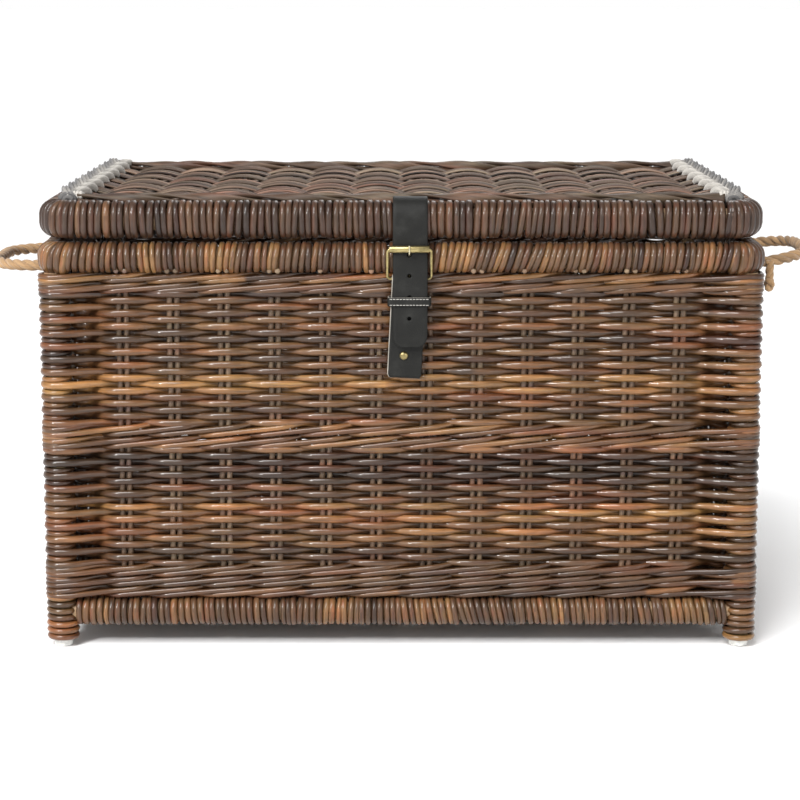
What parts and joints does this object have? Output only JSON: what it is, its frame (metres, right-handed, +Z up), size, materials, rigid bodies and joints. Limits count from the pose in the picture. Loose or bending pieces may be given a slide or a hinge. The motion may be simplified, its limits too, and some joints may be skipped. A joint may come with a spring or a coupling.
{
  "type": "coffee table trunk",
  "caption": "A low woven rattan trunk used as a coffee table, with a wrapped lid hinged at the back, a leather strap with a roller buckle in front and a rope handle on each end.",
  "frame": {"origin": "On the floor, under the middle of the whole object's box, handles, buckle and hinges included.", "axes": "+X runs to the right along the length, from one rope handle to the other; -Y is the front with the buckle; +Z is up."},
  "size_m": [0.978, 0.5326, 0.516],
  "materials": {
    "pole": "peeled rattan pole, dull satin",
    "glide": "pale moulded plastic, matt",
    "weaver": "round rattan, stained dark umber with lighter honey and grey-purple rods, satin lacquer",
    "stake": "round rattan, grey-brown, satin lacquer",
    "wale": "round rattan, orange-brown to umber, satin lacquer",
    "wrap": "close wrapping of split rattan, brown to grey-purple with tan turns, satin lacquer",
    "floor_weave": "woven rattan, unlacquered, dull",
    "fine_weave": "fine rattan strands in packets, greyish purple-brown, satin",
    "border": "flat twisted rattan strips, brown",
    "lashing": "plaited fibre, grey-white inner lobes and blue-grey outer lobes, matt",
    "brass": "warm polished brass, lightly worn",
    "steel": "drawn steel wire",
    "leather": "charcoal leather, soft satin grain, paler cut edges, dark stitching",
    "rope": "three-strand twisted natural fibre rope, matt and hairy"
  },
  "bodies": {
    "basket": {"post_fl": "pole", "post_fr": "pole", "post_bl": "pole", "post_br": "pole", "post_weave_fl": "weaver", "post_weave_fr": "weaver", "post_weave_bl": "weaver", "post_weave_br": "weaver", "glide_fl": "glide", "glide_fr": "glide", "glide_bl": "glide", "glide_br": "glide", "base_rods": "pole", "base_wrap": "wrap", "floor_panel": "floor_weave", "floor_bearers": "pole", "stakes_long": "stake", "stakes_ends": "stake", "weave_front": "weaver", "weave_back": "weaver", "weave_left": "weaver", "weave_right": "weaver", "wale_top": "wale", "wale_middle": "wale", "wale_bottom": "wale", "rim_pole": "pole", "rim_wrap_front": "wrap", "rim_wrap_back": "wrap", "rim_wrap_left": "wrap", "rim_wrap_right": "wrap", "hinge_leaf_body_l": "brass", "hinge_leaf_body_r": "brass", "hinge_pin_l": "steel", "hinge_pin_r": "steel", "buckle_strap": "leather", "strap_keeper": "leather", "strap_rivet": "brass", "handle_anchor_left": "rope", "handle_anchor_right": "rope"},
    "lid": {"hinge_leaf_lid_l": "brass", "hinge_leaf_lid_r": "brass", "lid_pole": "pole", "lid_wrap_front": "wrap", "lid_wrap_back": "wrap", "lid_wrap_left": "wrap", "lid_wrap_right": "wrap", "lid_battens": "stake", "lid_panel": "fine_weave", "lid_border": "border", "lid_braid_left": "lashing", "lid_braid_right": "lashing", "strap_top": "leather"},
    "strap_end": {"strap_tail": "leather"},
    "buckle": {"buckle_frame": "brass"},
    "roller": {"buckle_roller": "brass"},
    "prong": {"buckle_prong": "brass"},
    "handle_left": {"handle_left": "rope"},
    "handle_right": {"handle_right": "rope"},
    "tail": {"handle_tail": "rope"}
  },
  "joints": [
    {"name": "lid_hinge", "type": "hinge", "parent": "basket", "child": "lid", "pos_m": [0, 0.2618, 0.4615], "axis": [-1, 0, 0], "range_deg": [0, 105], "deforming": ["strap_tail"]},
    {"name": "strap_flex", "type": "hinge", "parent": "lid", "child": "strap_end", "pos_m": [0.01, -0.25335, 0.457], "axis": [-1, 0, 0], "range_deg": [-105, 0]},
    {"name": "buckle_swing", "type": "hinge", "parent": "basket", "child": "buckle", "pos_m": [0.009, -0.247, 0.421], "axis": [1, 0, 0], "range_deg": [0, 75]},
    {"name": "roller_spin", "type": "hinge", "parent": "buckle", "child": "roller", "pos_m": [0.009, -0.25915, 0.4545], "axis": [1, 0, 0], "continuous": true},
    {"name": "prong_swing", "type": "hinge", "parent": "buckle", "child": "prong", "pos_m": [0.009, -0.247, 0.421], "axis": [1, 0, 0], "range_deg": [0, 45]},
    {"name": "handle_left_swing", "type": "hinge", "parent": "basket", "child": "handle_left", "pos_m": [-0.4015, 0.003, 0.414], "axis": [0, 1, 0], "range_deg": [-80, 65]},
    {"name": "handle_right_swing", "type": "hinge", "parent": "basket", "child": "handle_right", "pos_m": [0.4015, 0.003, 0.414], "axis": [0, -1, 0], "range_deg": [-89, 56]},
    {"name": "tail_swing", "type": "hinge", "parent": "handle_right", "child": "tail", "pos_m": [0.43014, -0.0943, 0.41854], "axis": [0, -1, 0], "range_deg": [-56, 89]}
  ],
  "couplings": [
    {"joint": "strap_flex", "follows": "lid_hinge", "ratio": -1},
    {"joint": "tail_swing", "follows": "handle_right_swing", "ratio": -1}
  ]
}
